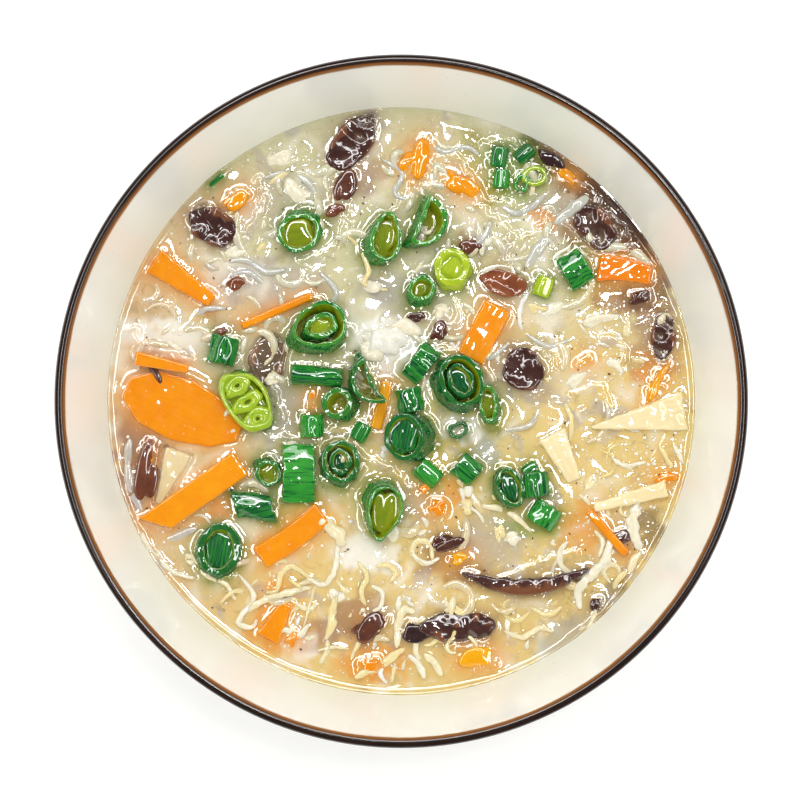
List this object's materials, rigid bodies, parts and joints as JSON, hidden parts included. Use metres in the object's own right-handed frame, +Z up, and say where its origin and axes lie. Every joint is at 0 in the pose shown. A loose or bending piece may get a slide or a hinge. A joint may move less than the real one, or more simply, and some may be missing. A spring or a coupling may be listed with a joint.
{
  "type": "congee bowl",
  "caption": "Round footed soup bowl filled with thick congee, topped with sliced spring onion, carrot, mushroom, bamboo shoot and egg.",
  "frame": {"origin": "centre of the bowl's foot ring, on the surface that it stands on", "axes": "+Z up along the bowl's axis; +Y towards the top of the dish as seen from above, +X to its right"},
  "size_m": [0.15, 0.15, 0.064],
  "materials": {
    "cream_glaze": "gloss cream glaze with a dark brown lip and a bare foot ring",
    "congee": "wet, cloudy and starchy",
    "onion_green": "wet leaf skin",
    "onion_pale": "wet, pale leaf base",
    "carrot": "wet, cooked",
    "bamboo": "wet, fibrous",
    "mushroom": "wet, dark",
    "egg": "soft cooked egg"
  },
  "bodies": {
    "root": {"bamboo_blade": "bamboo", "bamboo_slice": "bamboo", "bamboo_strip": "bamboo", "bamboo_under_carrot": "bamboo", "bowl": "cream_glaze", "carrot_big_slice": "carrot", "carrot_lower_left": "carrot", "carrot_on_slice": "carrot", "carrot_strip_centre": "carrot", "carrot_strip_left": "carrot", "carrot_strip_lower": "carrot", "carrot_strip_right": "carrot", "carrot_thin_right": "carrot", "carrot_thin_upper": "carrot", "carrot_wedge_left": "carrot", "carrot_yellow": "carrot", "congee": "congee", "egg_curd": "egg", "mushroom_by_ring": "mushroom", "mushroom_centre_right": "mushroom", "mushroom_edge_right": "mushroom", "mushroom_flap_bottom": "mushroom", "mushroom_flap_left": "mushroom", "mushroom_flap_right": "mushroom", "mushroom_flap_rusty": "mushroom", "mushroom_flap_top": "mushroom", "mushroom_long_slice": "mushroom", "onion_band": "onion_green", "onion_core_dark": "onion_green", "onion_core_double": "onion_green", "onion_core_large": "onion_green", "onion_ring_arch": "onion_green", "onion_ring_closed": "onion_green", "onion_ring_crescent": "onion_green", "onion_ring_dark": "onion_green", "onion_ring_dark_small": "onion_green", "onion_ring_double": "onion_green", "onion_ring_large": "onion_green", "onion_ring_oval": "onion_green", "onion_ring_pale": "onion_pale", "onion_ring_pointed": "onion_green", "onion_ring_right": "onion_green", "onion_ring_shaded": "onion_green", "onion_ring_tall": "onion_green", "onion_ring_teardrop": "onion_green", "onion_ring_under_arch": "onion_green", "onion_ring_upper_left": "onion_green", "onion_slice_pale": "onion_pale", "onion_tube_centre": "onion_green", "onion_tube_centre_left": "onion_green", "onion_tube_far_right": "onion_green", "onion_tube_flat": "onion_green", "onion_tube_left": "onion_green", "onion_tube_right_lower": "onion_green", "onion_tube_right_upper": "onion_green", "onion_tube_short_right": "onion_green", "onion_tube_slanted": "onion_green", "onion_tube_striped": "onion_green"}
  },
  "joints": []
}
